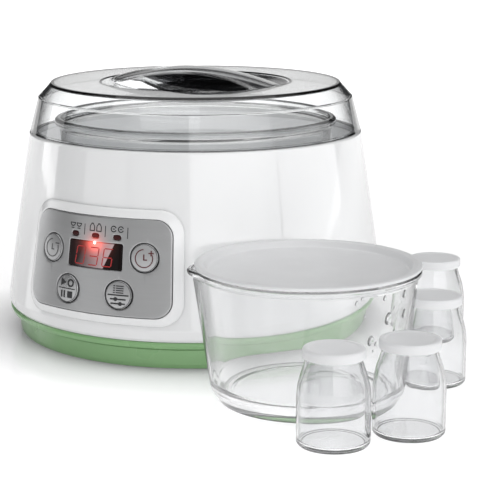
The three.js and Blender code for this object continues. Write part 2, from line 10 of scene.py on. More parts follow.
import bmesh
import bpy
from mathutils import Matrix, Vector

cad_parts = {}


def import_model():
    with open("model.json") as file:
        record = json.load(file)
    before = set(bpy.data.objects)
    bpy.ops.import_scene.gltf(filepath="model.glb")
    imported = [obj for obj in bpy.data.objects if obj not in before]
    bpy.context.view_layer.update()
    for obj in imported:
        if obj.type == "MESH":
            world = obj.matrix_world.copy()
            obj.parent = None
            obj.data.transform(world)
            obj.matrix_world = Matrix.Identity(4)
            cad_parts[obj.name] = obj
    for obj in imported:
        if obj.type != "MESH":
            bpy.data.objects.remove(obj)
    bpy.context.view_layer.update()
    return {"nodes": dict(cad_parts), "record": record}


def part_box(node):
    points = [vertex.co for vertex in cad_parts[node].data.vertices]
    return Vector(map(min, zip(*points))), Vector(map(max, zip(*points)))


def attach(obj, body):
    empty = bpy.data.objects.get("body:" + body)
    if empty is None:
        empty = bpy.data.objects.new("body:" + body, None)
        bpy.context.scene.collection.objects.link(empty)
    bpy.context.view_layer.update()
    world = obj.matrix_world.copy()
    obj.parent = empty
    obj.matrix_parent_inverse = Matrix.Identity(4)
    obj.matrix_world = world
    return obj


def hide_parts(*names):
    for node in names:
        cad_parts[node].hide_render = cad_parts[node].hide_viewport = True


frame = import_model()

MM = 0.001
SEGMENTS = 160
JAR_SEGMENTS = 96


# ---- places and main sizes, read from the frame ----

def centre_of(node):
    """A node's axis on the table, in metres."""
    low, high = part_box(node)
    return Vector(((low.x + high.x) / 2, (low.y + high.y) / 2, 0))


UNIT = centre_of("outer_housing")
BOWL = centre_of("bowl_cover")
JARS = [centre_of(f"jar_{i}") for i in range(1, 5)]

housing_low, housing_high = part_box("outer_housing")
seated_low, seated_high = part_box("seated_bowl")
serving_low, serving_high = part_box("serving_bowl")
lid_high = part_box("clear_lid")[1]
jar_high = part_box("jar_1")[1]

WIDEST_R = (housing_high.x - housing_low.x) / 2 / MM
RIM_Z = housing_high.z / MM
BODY_BOTTOM_Z = RIM_Z - 109
WIDEST_Z = RIM_Z - 99.1
RIM_R = 104.8
SLOPE = (WIDEST_R - RIM_R) / (RIM_Z - WIDEST_Z)
TILT = math.atan(SLOPE)
GAP = 0.3

GRIP_TOP_Z = lid_high.z / MM
LID_TOP_Z = GRIP_TOP_Z - 9.3
LID_TOP_R = 90.9
LID_WALL = 2.4
DISH_R = 59.4
DISH_DEPTH = 11
GRIP_WAIST = 9  # half its width in the middle, doubled at GRIP_REACH from there
GRIP_REACH = 60
GRIP_FLARE = 3.2  # how far its flanks spread on their way down into the dish

BOWL_RIM_DRAWN = 88.8  # both bowls are one drawing, scaled to their rims
BOWL_WALL_FOOT = (76.6, 10.5)
BOWL_WALL_TOP = (86.0, 100.5)
SEATED_SCALE = (seated_high.x - seated_low.x) / 2 / MM / BOWL_RIM_DRAWN
SERVING_SCALE = (serving_high.z - serving_low.z) / (seated_high.z - seated_low.z) * SEATED_SCALE

# control panel: plan angles in degrees, heights in mm, how far things stand out from the cone
BEZEL = dict(angle=27, z0=27.2, z1=94, corner=14)
PLATE = dict(angle=23.8, z0=32.1, z1=88.3, corner=10)
WINDOW = dict(angle=8.9, z0=58.6, z1=73.2, corner=0.8)
LAMPS = dict(angles=(-7.15, 0, 7.15), z=77.1, width=4.4, height=2.3)
PANEL_R = 114.0
BEZEL_FRONT = 3.2
PLATE_FRONT = 3.5
BUTTON_R = 8.2
BUTTON_FRONT = 4.4
BUTTONS = {
    "time_minus_button": (-15.7, 66.5),
    "time_plus_button": (15.7, 66.5),
    "start_button": (-8.5, 44.4),
    "function_button": (8.5, 44.4),
}
# the lit spot is a painted flare, and the painted red glow spreads round it
LIT_SPOT = (0, WINDOW["z1"] - 0.2)
LIT_LAMP = 2

# the camera, by its place round the unit
CAMERA_HEADING = math.radians(30.5)  # round from the panel's facing direction, towards +X
CAMERA_DISTANCE = 1.044
CAMERA_HEIGHT = 0.2739
CAMERA_PITCH = math.radians(11.92)
CAMERA_AIM_RIGHT = math.radians(1.54)
CAMERA_LENS = 124.2

TO_CAMERA = Vector((math.sin(CAMERA_HEADING), -math.cos(CAMERA_HEADING), 0))
TO_RIGHT = Vector((math.cos(CAMERA_HEADING), math.sin(CAMERA_HEADING), 0))


# ---- outlines ----

def rounded(points, closed=False, steps=6):
    """Dense outline from (r, z) or (r, z, fillet radius) corners."""
    dense = []
    count = len(points)
    for i, (x, y, *rest) in enumerate(points):
        radius = rest[0] if rest else 0
        if not radius or (not closed and i in (0, count - 1)):
            dense.append((x, y))
            continue
        corner = Vector((x, y))
        back = Vector(points[i - 1][:2]) - corner
        ahead = Vector(points[(i + 1) % count][:2]) - corner
        half = back.angle(ahead) / 2
        cut = min(radius / math.tan(half), back.length * 0.49, ahead.length * 0.49)
        radius = cut * math.tan(half)
        start = corner + back.normalized() * cut
        end = corner + ahead.normalized() * cut
        inward = (back.normalized() + ahead.normalized()).normalized()
        centre = corner + inward * (radius / math.sin(half))
        from_angle = math.atan2(start.y - centre.y, start.x - centre.x)
        sweep = math.atan2(end.y - centre.y, end.x - centre.x) - from_angle
        sweep = (sweep + math.pi) % (2 * math.pi) - math.pi
        for k in range(steps + 1):
            angle = from_angle + sweep * k / steps
            dense.append((centre.x + radius * math.cos(angle), centre.y + radius * math.sin(angle)))
    return dense


def arc_points(x, y, radius_x, radius_y, start, end, steps):
    """Points of an elliptical arc, angles in degrees."""
    return [(x + radius_x * math.cos(math.radians(start + (end - start) * k / steps)),
             y + radius_y * math.sin(math.radians(start + (end - start) * k / steps)))
            for k in range(steps + 1)]


def body_radius(z):
    return WIDEST_R - (z - WIDEST_Z) * SLOPE


# ---- mesh helpers ----

def smooth_faces(mesh, sharp_degrees=None):
    """Smooth shading; edges that turn further than sharp_degrees stay sharp."""
    mesh.polygons.foreach_set("use_smooth", [True] * len(mesh.polygons))
    if sharp_degrees:
        mesh.set_sharp_from_angle(angle=math.radians(sharp_degrees))


def new_object(name, bm, material):
    mesh = bpy.data.meshes.new(name)
    bmesh.ops.recalc_face_normals(bm, faces=bm.faces)
    bm.to_mesh(mesh)
    bm.free()
    obj = bpy.data.objects.new(name, mesh)
    bpy.context.scene.collection.objects.link(obj)
    smooth_faces(mesh)
    mesh.materials.append(material)
    return obj


def settle(obj, body, slot, *nodes, weigh=True):
    """Last steps for each piece: shading, what it stands for and what it moves with. The slot is not used."""
    if weigh:
        modifier = obj.modifiers.new("weighted_normals", "WEIGHTED_NORMAL")
        modifier.keep_sharp = True
        modifier.weight = 80
    if nodes:
        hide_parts(*nodes)
    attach(obj, body)
    return obj


def let_light_through(obj):
    """Clear pieces neither shade nor darken what stands behind them."""
    obj.visible_shadow = False
    obj.visible_diffuse = False
    return obj


def skin(bm, rings, closed):
    """Faces between rings of vertices, one after another. A ring may be a single point."""
    ahead = rings[1:] + (rings[:1] if closed else [])
    for low, high in zip(rings, ahead):
        count = max(len(low), len(high))
        if count == 1:
            continue
        for k in range(count):
            n = (k + 1) % count
            corners = (low[k % len(low)], low[n % len(low)], high[n % len(high)], high[k % len(high)])
            bm.faces.new(tuple(dict.fromkeys(corners)))


def spin_rings(bm, outline, segments, closed, centre=Vector((0, 0, 0))):
    """Turns a millimetre outline about the vertical axis through centre."""
    rings = []
    for r, z in outline:
        if r < 1e-6:
            rings.append([bm.verts.new(centre + Vector((0, 0, z * MM)))])
            continue
        rings.append([bm.verts.new(centre + Vector((
            r * MM * math.sin(2 * math.pi * k / segments),
            -r * MM * math.cos(2 * math.pi * k / segments),
            z * MM))) for k in range(segments)])
    skin(bm, rings, closed)


def spin(name, points, centre, material, segments=SEGMENTS, steps=6):
    """A turned piece. An outline that starts off the axis closes on itself."""
    closed = points[0][0] > 1e-6
    bm = bmesh.new()
    spin_rings(bm, rounded(points, closed, steps), segments, closed, centre)
    return new_object(name, bm, material)


def final_mesh(obj):
    """The mesh that a curve, or an object with modifiers, comes out as."""
    graph = bpy.context.evaluated_depsgraph_get()
    return bpy.data.meshes.new_from_object(obj.evaluated_get(graph))


def cut_away(obj, tool):
    """Boolean cut of obj by tool, applied; the tool is deleted."""
    modifier = obj.modifiers.new("cut", "BOOLEAN")
    modifier.operation = "DIFFERENCE"
    modifier.solver = "EXACT"
    modifier.object = tool
    mesh = final_mesh(obj)
    obj.modifiers.clear()
    obj.data = mesh
    bpy.data.objects.remove(tool)


# ---- flat shapes, later bent round the body or laid on a key ----

def flat_solid(name, outlines, back, front, bevel, material):
    """Filled 2D outlines (the first is the outside, later ones are holes) with rounded edges.

    x runs along the panel, y up it and z out of it, all in mm.
    """
    curve = bpy.data.curves.new(name, "CURVE")
    curve.dimensions = "2D"
    curve.fill_mode = "BOTH"
    curve.bevel_mode = "ROUND"
    curve.bevel_depth = bevel
    curve.bevel_resolution = 3
    curve.offset = -bevel
    curve.extrude = (front - back) / 2 - bevel
    for outline in outlines:
        spline = curve.splines.new("POLY")
        spline.points.add(len(outline) - 1)
        spline.use_cyclic_u = True
        for point, (x, y) in zip(spline.points, outline):
            point.co = (x, y, 0, 1)
    holder = bpy.data.objects.new(name, curve)
    bpy.context.scene.collection.objects.link(holder)
    bm = bmesh.new()
    bm.from_mesh(final_mesh(holder))
    bpy.data.objects.remove(holder)
    bmesh.ops.translate(bm, verts=bm.verts, vec=(0, 0, (front + back) / 2))
    bmesh.ops.remove_doubles(bm, verts=bm.verts, dist=1e-4)
    return new_object(name, bm, material)


def slice_along(obj, step):
    """Adds cuts across x so that the piece can bend."""
    bm = bmesh.new()
    bm.from_mesh(obj.data)
    values = [v.co.x for v in bm.verts]
    low, high = min(values), max(values)
    count = max(1, int((high - low) / step))
    for k in range(1, count):
        at = Vector((low + (high - low) * k / count, 0, 0))
        geometry = bm.verts[:] + bm.edges[:] + bm.faces[:]
        bmesh.ops.bisect_plane(bm, geom=geometry, plane_co=at, plane_no=(1, 0, 0), dist=1e-5)
    bm.to_mesh(obj.data)
    bm.free()


def panel_frame(x, z):
    """Axes and point of the body's cone at x mm round from the panel's centre and height z."""
    angle = x / PANEL_R
    along = Vector((math.cos(angle), math.sin(angle), 0))
    out = Vector((math.cos(TILT) * math.sin(angle), -math.cos(TILT) * math.cos(angle), math.sin(TILT)))
    up = Vector((-math.sin(TILT) * math.sin(angle), math.sin(TILT) * math.cos(angle), math.cos(TILT)))
    radius = body_radius(z)
    point = Vector((radius * math.sin(angle), -radius * math.cos(angle), z))
    return along, up, out, point


def carry(obj, place):
    """Moves flat vertices by place(x, y) -> axes and point, and turns their shading with them."""
    mesh = obj.data
    smooth_faces(mesh, 40)
    flat_normals = [Vector(n.vector) for n in mesh.corner_normals]
    frames = [place(v.co.x, v.co.y) for v in mesh.vertices]
    turned = []
    for loop, normal in zip(mesh.loops, flat_normals):
        along, up, out, _ = frames[loop.vertex_index]
        turned.append((along * normal.x + up * normal.y + out * normal.z).normalized())
    for vertex, (along, up, out, point) in zip(mesh.vertices, frames):
        vertex.co = UNIT + (point + out * vertex.co.z) * MM
    mesh.normals_split_custom_set(turned)
    mesh.update()
    return obj


def bend_to_panel(obj, step=1.5):
    slice_along(obj, step)
    return carry(obj, panel_frame)


def panel_rectangle(angle, z0, z1, corner, grow=0.0, steps=8):
    half = math.radians(angle) * PANEL_R + grow
    corner = corner + grow
    return rounded([(-half, z0 - grow, corner), (half, z0 - grow, corner),
                    (half, z1 + grow, corner), (-half, z1 + grow, corner)], True, steps)


def circle(x, y, radius, steps=40):
    return arc_points(x, y, radius, radius, 0, 360 - 360 / steps, steps - 1)


def pill(x, y, width, height):
    half = height / 2
    reach = width / 2 - half
    return (arc_points(x + reach, y, half, half, -90, 90, 10)
            + arc_points(x - reach, y, half, half, 90, 270, 10))


def bar(x0, y0, x1, y1, width):
    """A straight stroke with square ends."""
    along = (Vector((x1, y1)) - Vector((x0, y0))).normalized() * (width / 2)
    side = Vector((-along.y, along.x))
    return [(x0 + side.x, y0 + side.y), (x0 - side.x, y0 - side.y),
            (x1 - side.x, y1 - side.y), (x1 + side.x, y1 + side.y)]


def bow(x, y, radius, start, end, width, steps=28):
    """A curved stroke round a circle's part, angles in degrees."""
    outer = arc_points(x, y, radius + width / 2, radius + width / 2, start, end, steps)
    inner = arc_points(x, y, radius - width / 2, radius - width / 2, end, start, steps)
    return outer + inner


def stroke_solids(name, outlines, back, front, material):
    """Thin raised marks, one for each outline, as one flat object."""
    bm = bmesh.new()
    for outline in outlines:
        low = [bm.verts.new((x, y, back)) for x, y in outline]
        high = [bm.verts.new((x, y, front)) for x, y in outline]
        bm.faces.new(high)
        bm.faces.new(list(reversed(low)))
        skin(bm, [low, high], False)
    return new_object(name, bm, material)


# ---- materials ----

COLOR_A, COLOR_B, COLOR_RESULT = 6, 7, 2  # the Mix node's colour sockets


class Graph:
    """Short forms for the nodes of a material or a world."""

    def __init__(self, owner):
        owner.use_nodes = True
        self.nodes = owner.node_tree.nodes
        self.links = owner.node_tree.links

    def feed(self, socket, value):
        """Links a node's output to the socket, or sets the socket itself."""
        if isinstance(value, bpy.types.NodeSocket):
            self.links.new(value, socket)
        else:
            socket.default_value = value

    def math(self, operation, a, b=0.0):
        node = self.nodes.new("ShaderNodeMath")
        node.operation = operation
        self.feed(node.inputs[0], a)
        self.feed(node.inputs[1], b)
        return node.outputs["Value"]

    def minus(self, a, b):
        return self.math("SUBTRACT", a, b)

    def times(self, product, *others):
        for other in others:
            product = self.math("MULTIPLY", product, other)
        return product

    def most(self, largest, *others):
        for other in others:
            largest = self.math("MAXIMUM", largest, other)
        return largest

    def vector_math(self, operation, a, b, result="Value"):
        node = self.nodes.new("ShaderNodeVectorMath")
        node.operation = operation
        self.feed(node.inputs[0], a)
        self.feed(node.inputs[1], b)
        return node.outputs[result]

    def span(self, value, low, high, start=0.3, end=0.7, shape="LINEAR"):
        """low up to start, high from end on, and a ramp between them."""
        node = self.nodes.new("ShaderNodeMapRange")
        node.interpolation_type = shape
        for label, number in (("From Min", start), ("From Max", end), ("To Min", low), ("To Max", high)):
            node.inputs[label].default_value = number
        self.links.new(value, node.inputs["Value"])
        return node.outputs["Result"]

    def mix(self, factor, first, second):
        """The first colour turning into the second."""
        node = self.nodes.new("ShaderNodeMix")
        node.data_type = "RGBA"
        self.links.new(factor, node.inputs["Factor"])
        node.inputs[COLOR_A].default_value = (*first, 1)
        node.inputs[COLOR_B].default_value = (*second, 1)
        return node.outputs[COLOR_RESULT]


class Paint(Graph):
    """A principled material with procedural detail in object space."""

    def __init__(self, name, color, roughness, metallic=0.0, **sockets):
        self.material = bpy.data.materials.new(name)
        super().__init__(self.material)
        self.shader = self.nodes["Principled BSDF"]
        self.coords = self.nodes.new("ShaderNodeTexCoord").outputs["Object"]
        self.color = color
        self.bumped = None
        self.set("Base Color", (*color, 1))
        self.set("Roughness", roughness)
        self.set("Metallic", metallic)
        for label, value in sockets.items():
            self.set(label.replace("_", " "), value)

    def set(self, label, value):
        self.shader.inputs[label].default_value = value

    def noise(self, scale, detail=3.0, stretch=(1, 1, 1)):
        mapping = self.nodes.new("ShaderNodeMapping")
        mapping.inputs["Scale"].default_value = stretch
        self.links.new(self.coords, mapping.inputs["Vector"])
        texture = self.nodes.new("ShaderNodeTexNoise")
        texture.inputs["Scale"].default_value = scale
        texture.inputs["Detail"].default_value = detail
        self.links.new(mapping.outputs["Vector"], texture.inputs["Vector"])
        return texture.outputs["Fac"]

    def vary_roughness(self, low, high, scale, **options):
        self.links.new(self.span(self.noise(scale, **options), low, high), self.shader.inputs["Roughness"])
        return self

    def turn_to(self, color, factor):
        """Turns the base colour into another one where factor is 1."""
        self.links.new(self.mix(factor, self.color, color), self.shader.inputs["Base Color"])
        return self

    def vary_color(self, darker, scale, **options):
        """Mottles the colour with a darker shade of itself."""
        shade = tuple(c * darker for c in self.color)
        return self.turn_to(shade, self.span(self.noise(scale, **options), 0, 1))

    def glow(self, color, strength):
        """Gives the surface its own light, of one strength or of one that varies over it."""
        self.set("Emission Color", (*color, 1))
        self.feed(self.shader.inputs["Emission Strength"], strength)
        return self

    def bump(self, strength, distance, scale, **options):
        node = self.nodes.new("ShaderNodeBump")
        node.inputs["Strength"].default_value = strength
        node.inputs["Distance"].default_value = distance
        self.links.new(self.noise(scale, **options), node.inputs["Height"])
        if self.bumped:
            self.links.new(self.bumped, node.inputs["Normal"])
        self.bumped = node.outputs["Normal"]
        self.links.new(self.bumped, self.shader.inputs["Normal"])
        return self

    def axis(self, letter):
        node = self.nodes.new("ShaderNodeSeparateXYZ")
        self.links.new(self.coords, node.inputs["Vector"])
        return node.outputs[letter]

    def distance_from(self, point, flat=False):
        """Distance in space, or only in plan."""
        kept = self.vector_math("MULTIPLY", self.coords, (1, 1, 0 if flat else 1), "Vector")
        return self.vector_math("DISTANCE", kept, point)

    def band(self, value, middle, half_width):
        """1 where value is near middle, 0 away from it."""
        off = self.math("ABSOLUTE", self.minus(value, middle))
        return self.span(off, 1, 0, half_width, half_width * 1.5)


def off_level(paint, start, end):
    """1 on walls, 0 on level faces, by the upward part of the normal."""
    normal = paint.nodes.new("ShaderNodeNewGeometry").outputs["Normal"]
    upward = paint.vector_math("DOT_PRODUCT", normal, (0, 0, 1))
    return paint.span(paint.math("ABSOLUTE", upward), 1, 0, start, end)


def paint_dark_outlines(paint, *drawn):
    """Painted shade: glass walls go dark where they are seen edge on; drawn holds further masks of painted
    shade.
    """
    weight = paint.nodes.new("ShaderNodeLayerWeight")
    weight.inputs["Blend"].default_value = 0.5
    edge_on_shade = paint.span(weight.outputs["Facing"], 0, 0.92, 0.62, 0.9)
    wall_outline_shade = paint.times(edge_on_shade, off_level(paint, 0.4, 0.75))
    paint.turn_to((0.012, 0.012, 0.013), paint.most(wall_outline_shade, *drawn))


def spot_in_scene():
    _, _, out, point = panel_frame(*LIT_SPOT)
    return UNIT + (point + out * PLATE_FRONT) * MM


def add_painted_red_glow(paint, strength, reach):
    """Painted red glow: emission that fades with distance from the lit spot at the window's upper edge,
    standing for its light spilling onto surfaces that are no lamp.
    """
    near = paint.math("DIVIDE", paint.distance_from(spot_in_scene()), reach)
    fade = paint.math("POWER", math.e, paint.times(paint.math("POWER", near, 1.4), -1.0))
    paint.glow((1.0, 0.12, 0.08), paint.times(fade, strength))


def white_shell():
    paint = Paint("white_shell", (0.79, 0.795, 0.8), 0.16, Coat_Weight=1.0, Coat_Roughness=0.04)
    paint.vary_roughness(0.13, 0.2, 18).bump(0.02, 0.0003, 420, detail=2)
    return paint.vary_color(0.975, 9).material


def bezel_white():
    paint = Paint("bezel_white", (0.8, 0.805, 0.81), 0.22, Coat_Weight=0.3, Coat_Roughness=0.1)
    paint.vary_roughness(0.18, 0.28, 30).bump(0.06, 0.0003, 500)
    return paint.vary_color(0.97, 14).material


def green_plastic():
    paint = Paint("green_plastic", (0.23, 0.44, 0.19), 0.26, Coat_Weight=0.4, Coat_Roughness=0.08)
    paint.vary_roughness(0.26, 0.38, 25).bump(0.08, 0.0004, 380)
    return paint.vary_color(0.94, 10).material


def liner_plastic():
    paint = Paint("liner_plastic", (0.66, 0.67, 0.68), 0.32)
    paint.vary_roughness(0.28, 0.4, 20).bump(0.05, 0.0004, 350)
    return paint.vary_color(0.96, 9).material


def silver_paint():
    paint = Paint("silver_paint", (0.42, 0.423, 0.427), 0.32, metallic=1.0)
    paint.vary_roughness(0.29, 0.33, 60, stretch=(0.15, 0.15, 6))
    paint.vary_color(0.97, 700, stretch=(0.05, 0.05, 1))
    paint.bump(0.04, 0.0002, 900, stretch=(0.04, 0.04, 1))
    # painted red glow: the plate shines red near the lit spot
    add_painted_red_glow(paint, 0.8, 0.0042)
    return paint.material


def key_silver():
    paint = Paint("key_silver", (0.46, 0.463, 0.468), 0.3, metallic=0.7)
    paint.vary_roughness(0.26, 0.32, 80)
    return paint.vary_color(0.97, 60).material


def beside_grip(paint):
    """1 on the lid outside the grip's flanks, as grip_half_width draws them, and 0 between them."""
    across = paint.math("ABSOLUTE", paint.minus(paint.axis("Y"), UNIT.y))
    along = paint.minus(paint.axis("X"), UNIT.x)
    flare = paint.times(along, along, GRIP_WAIST / GRIP_REACH ** 2 / MM)
    flank = paint.math("ADD", GRIP_WAIST * MM, flare)
    return paint.span(paint.minus(across, flank), 0, 1, 0.0, 0.0006)


def dish_painted_shade(paint):
    """Painted shade: 1 on two dark stretches of the dish; one climbs its left side, the other lies low in it.

    Left and right are fixed directions on the lid, taken from the camera's heading.
    """
    over_top = paint.minus(paint.axis("Z"), LID_TOP_Z * MM)
    rightward = paint.vector_math("DOT_PRODUCT", paint.coords, TO_RIGHT)
    leftward = paint.most(paint.minus(UNIT.dot(TO_RIGHT), rightward), 0.0)
    edge = paint.math("ADD", -0.004, paint.times(leftward, leftward, 5.5))
    climbing = paint.times(paint.span(paint.minus(over_top, edge), 0, 1, -0.0002, 0.0002),
                           paint.span(leftward, 1, 0, 0.0335, 0.0345))
    from_low = paint.distance_from(UNIT + TO_RIGHT * 0.012, flat=True)
    low = paint.times(paint.span(over_top, 1, 0, -0.0058, -0.0052),
                      paint.span(from_low, 1, 0, 0.0485, 0.0498))
    return paint.most(climbing, low)


def clear_acrylic():
    """Clear plastic with painted shade: dark stretches in the dish, and dark lines at its turns where thick
    acrylic looks dark.
    """
    paint = Paint("clear_acrylic", (0.985, 0.99, 0.992), 0.02, Transmission_Weight=1.0, IOR=1.49)
    paint.vary_roughness(0.0, 0.03, 40)
    height = paint.axis("Z")
    from_axis = paint.distance_from(UNIT, flat=True)
    in_dish = paint.span(from_axis, 1, 0, (DISH_R - 1.4) * MM, (DISH_R - 0.6) * MM)
    # painted shade in the dish, kept off the grip
    dish_shade_mask = paint.times(beside_grip(paint), in_dish, dish_painted_shade(paint))
    on_top = paint.span(height, 0, 1, (LID_TOP_Z - 1.5) * MM, (LID_TOP_Z - 1.1) * MM)
    # painted shade: dark lines round the dish, along the top's edge and at the lid's foot
    dish_shade_line = paint.times(paint.band(from_axis, (DISH_R + 0.3) * MM, 0.0006), on_top, 0.9)
    top_shade_line = paint.times(paint.band(from_axis, (LID_TOP_R - 0.3) * MM, 0.0012), on_top)
    foot_shade_line = paint.times(paint.span(height, 1, 0, (RIM_Z + 0.9) * MM, (RIM_Z + 1.3) * MM),
                            paint.span(from_axis, 0, 0.85, (RIM_R - 1.2) * MM, (RIM_R - 0.8) * MM))
    paint_dark_outlines(paint, dish_shade_mask, dish_shade_line, top_shade_line, foot_shade_line)
    return paint.material


def clear_glass(name, tint, clearness, *turns):
    """Glass; what is not clearness is a thin milky veil. Turns are heights, in mm, of dark lines of painted
    shade.
    """
    paint = Paint(name, tint, 0.0, Transmission_Weight=clearness, IOR=1.5)
    height = paint.axis("Z")
    # painted shade: dark bands round the walls at the given heights
    on_shade_lines = paint.times(off_level(paint, 0.85, 0.98), 0.85)
    paint_dark_outlines(paint, *[paint.times(paint.band(height, z * MM, 0.0005), on_shade_lines) for z in turns])
    return paint.vary_roughness(0.0, 0.012, 35).material


def frosted_plastic():
    paint = Paint("frosted_plastic", (0.87, 0.875, 0.885), 0.42, Transmission_Weight=0.2, IOR=1.45)
    paint.vary_roughness(0.34, 0.5, 60).bump(0.12, 0.0003, 700)
    return paint.vary_color(0.97, 25).material


def display_black():
    """Black lens with a painted sheen: a lighter field, brightest by a slanting edge that cuts it off, stands
    for a reflection on the lens.
    """
    paint = Paint("display_black", (0.006, 0.004, 0.004), 0.1, Specular_IOR_Level=0.12)
    paint.vary_roughness(0.05, 0.12, 90)
    # painted sheen: lighter left of a slanting line, most near the line
    across = paint.minus(paint.axis("X"), UNIT.x)
    slant = paint.times(paint.minus(paint.axis("Z"), WINDOW["z0"] * MM), 0.46)
    past_sheen_edge = paint.minus(across, paint.math("ADD", slant, 0.0062))
    sheen_field = paint.span(past_sheen_edge, 1, 0, -0.0001, 0.0001)
    sheen_brightness = paint.span(past_sheen_edge, 0.03, 1.0, -0.02, -0.001)
    paint.turn_to((0.46, 0.36, 0.37), paint.times(sheen_field, sheen_brightness))
    # painted red glow on the lens round the lit spot
    add_painted_red_glow(paint, 2.2, 0.0044)
    return paint.material


def lamp_red(name, strength):
    paint = Paint(name, (0.022, 0.001, 0.0015), 0.22, Specular_IOR_Level=0.3)
    return paint.vary_color(0.6, 900).glow((1.0, 0.05, 0.04), strength).material


def digit_red():
    paint = Paint("digit_red", (0.4, 0.015, 0.015), 0.4)
    return paint.vary_color(0.7, 800).glow((1.0, 0.04, 0.04), 0.06).material


# Painted flare: a small pale-red dot that glows brightly at the window's upper edge, no lamp.
def painted_flare():
    paint = Paint("painted_flare", (1.0, 0.6, 0.55), 0.4)
    return paint.vary_color(0.95, 800).glow((1.0, 0.75, 0.7), 9.0).material


def ink(name, color):
    paint = Paint(name, color, 0.45)
    return paint.vary_color(0.7, 600).vary_roughness(0.4, 0.55, 300).material


def plain(name, color, roughness, metallic=0.0, grain=300, depth=0.0003):
    """Moulded, cast or drawn stock with its own fine grain."""
    paint = Paint(name, color, roughness, metallic)
    paint.vary_roughness(roughness * 0.85, min(1.0, roughness * 1.2), grain / 4)
    paint.bump(0.2, depth, grain)
    return paint.vary_color(0.88, grain / 8).material


WHITE = white_shell()
BEZEL_WHITE = bezel_white()
GREEN = green_plastic()
LINER = liner_plastic()
SILVER = silver_paint()
KEY_SILVER = key_silver()
ACRYLIC = clear_acrylic()
# the last numbers are heights of painted dark lines: the bowls' rims and the serving bowl's and jars' bases
GLASS = clear_glass("clear_glass", (0.972, 0.976, 0.976), 1.0, seated_high.z / MM - 0.3)
BOWL_GLASS = clear_glass("bowl_glass", (0.965, 0.968, 0.97), 0.95, serving_high.z / MM - 0.4, 0.8)
JAR_GLASS = clear_glass("jar_glass", (0.9, 0.903, 0.908), 0.97, 0.8)
FROSTED = frosted_plastic()
DISPLAY = display_black()
DIGITS = digit_red()
DARK_INK = ink("dark_ink", (0.015, 0.015, 0.017))
GREY_INK = ink("grey_ink", (0.09, 0.09, 0.093))
RED_INK = ink("red_ink", (0.1, 0.012, 0.015))

FRAME_PAINTS = {
    "rubber": plain("rubber", (0.03, 0.03, 0.032), 0.8, grain=900),
    "aluminium": plain("aluminium", (0.6, 0.61, 0.62), 0.38, 1.0, grain=600),
    "steel": plain("steel", (0.62, 0.63, 0.65), 0.28, 1.0, grain=700),
    "mica": plain("mica", (0.4, 0.28, 0.14), 0.7),
    "felt": plain("felt", (0.75, 0.72, 0.62), 0.95, grain=500, depth=0.001),
    "ceramic": plain("ceramic", (0.78, 0.73, 0.62), 0.6),
    "board": plain("board", (0.012, 0.09, 0.035), 0.45),
    "dark_plastic": plain("dark_plastic", (0.02, 0.02, 0.022), 0.45, grain=800),
    "relay_blue": plain("relay_blue", (0.02, 0.08, 0.3), 0.4),
    "capacitor": plain("capacitor", (0.015, 0.02, 0.05), 0.35),
    "copper": plain("copper", (0.5, 0.22, 0.08), 0.4, 0.9),
    "white_shell": WHITE, "green_tray": GREEN, "liner": LINER, "bezel": BEZEL_WHITE,
    "silver_plate": SILVER, "display": DISPLAY, "button": KEY_SILVER, "clear_plastic": ACRYLIC,
    "glass": GLASS, "frosted": FROSTED,
    "lamp": lamp_red("lamp_dark", 0.02),
}


def paint_frame_nodes():
    """Every CAD node gets its slot's procedural material, whether it stays visible or not."""
    slots = {part["node"]: part["material_slot"] for part in frame["record"]["subparts"]}
    for name, obj in frame["nodes"].items():
        obj.data.materials.clear()
        obj.data.materials.append(FRAME_PAINTS[slots[name]])


# ---- casing ----

def outer_housing():
    inner = 2.6
    shelf = 117.0
    housing = spin("housing_shell", [
        (118.2, BODY_BOTTOM_Z, 0.5),
        (119.3, BODY_BOTTOM_Z + 1.6, 1.5),
        (WIDEST_R, WIDEST_Z - 3, 6),
        (body_radius(RIM_Z - 0.2), RIM_Z, 1.3),
        (101.4, RIM_Z, 0.5),
        (101.4, shelf + 2),
        (97, shelf + 2, 0.4),
        (97, shelf, 0.4),
        (body_radius(shelf) - inner, shelf, 1),
        (WIDEST_R - inner, WIDEST_Z, 5),
        (114.4, BODY_BOTTOM_Z, 0.3),
    ], UNIT, WHITE, steps=8)
    opening = flat_solid("opening", [panel_rectangle(**PLATE, grow=0.6)], -9, 9, 0, WHITE)
    cut_away(housing, bend_to_panel(opening))
    low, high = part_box("power_inlet")
    slot = bmesh.new()
    bmesh.ops.create_cube(slot, size=1)
    size = Vector((high.x - low.x, 30 * MM, high.z - low.z)) + Vector((2 * GAP * MM, 0, 2 * GAP * MM))
    middle = Vector(((low.x + high.x) / 2, high.y - 4 * MM, (low.z + high.z) / 2))
    bmesh.ops.scale(slot, verts=slot.verts, vec=size)
    bmesh.ops.translate(slot, verts=slot.verts, vec=middle)
    cut_away(housing, new_object("inlet_cut", slot, WHITE))
    smooth_faces(housing.data, 35)
    settle(housing, "unit", "white_shell", "outer_housing")


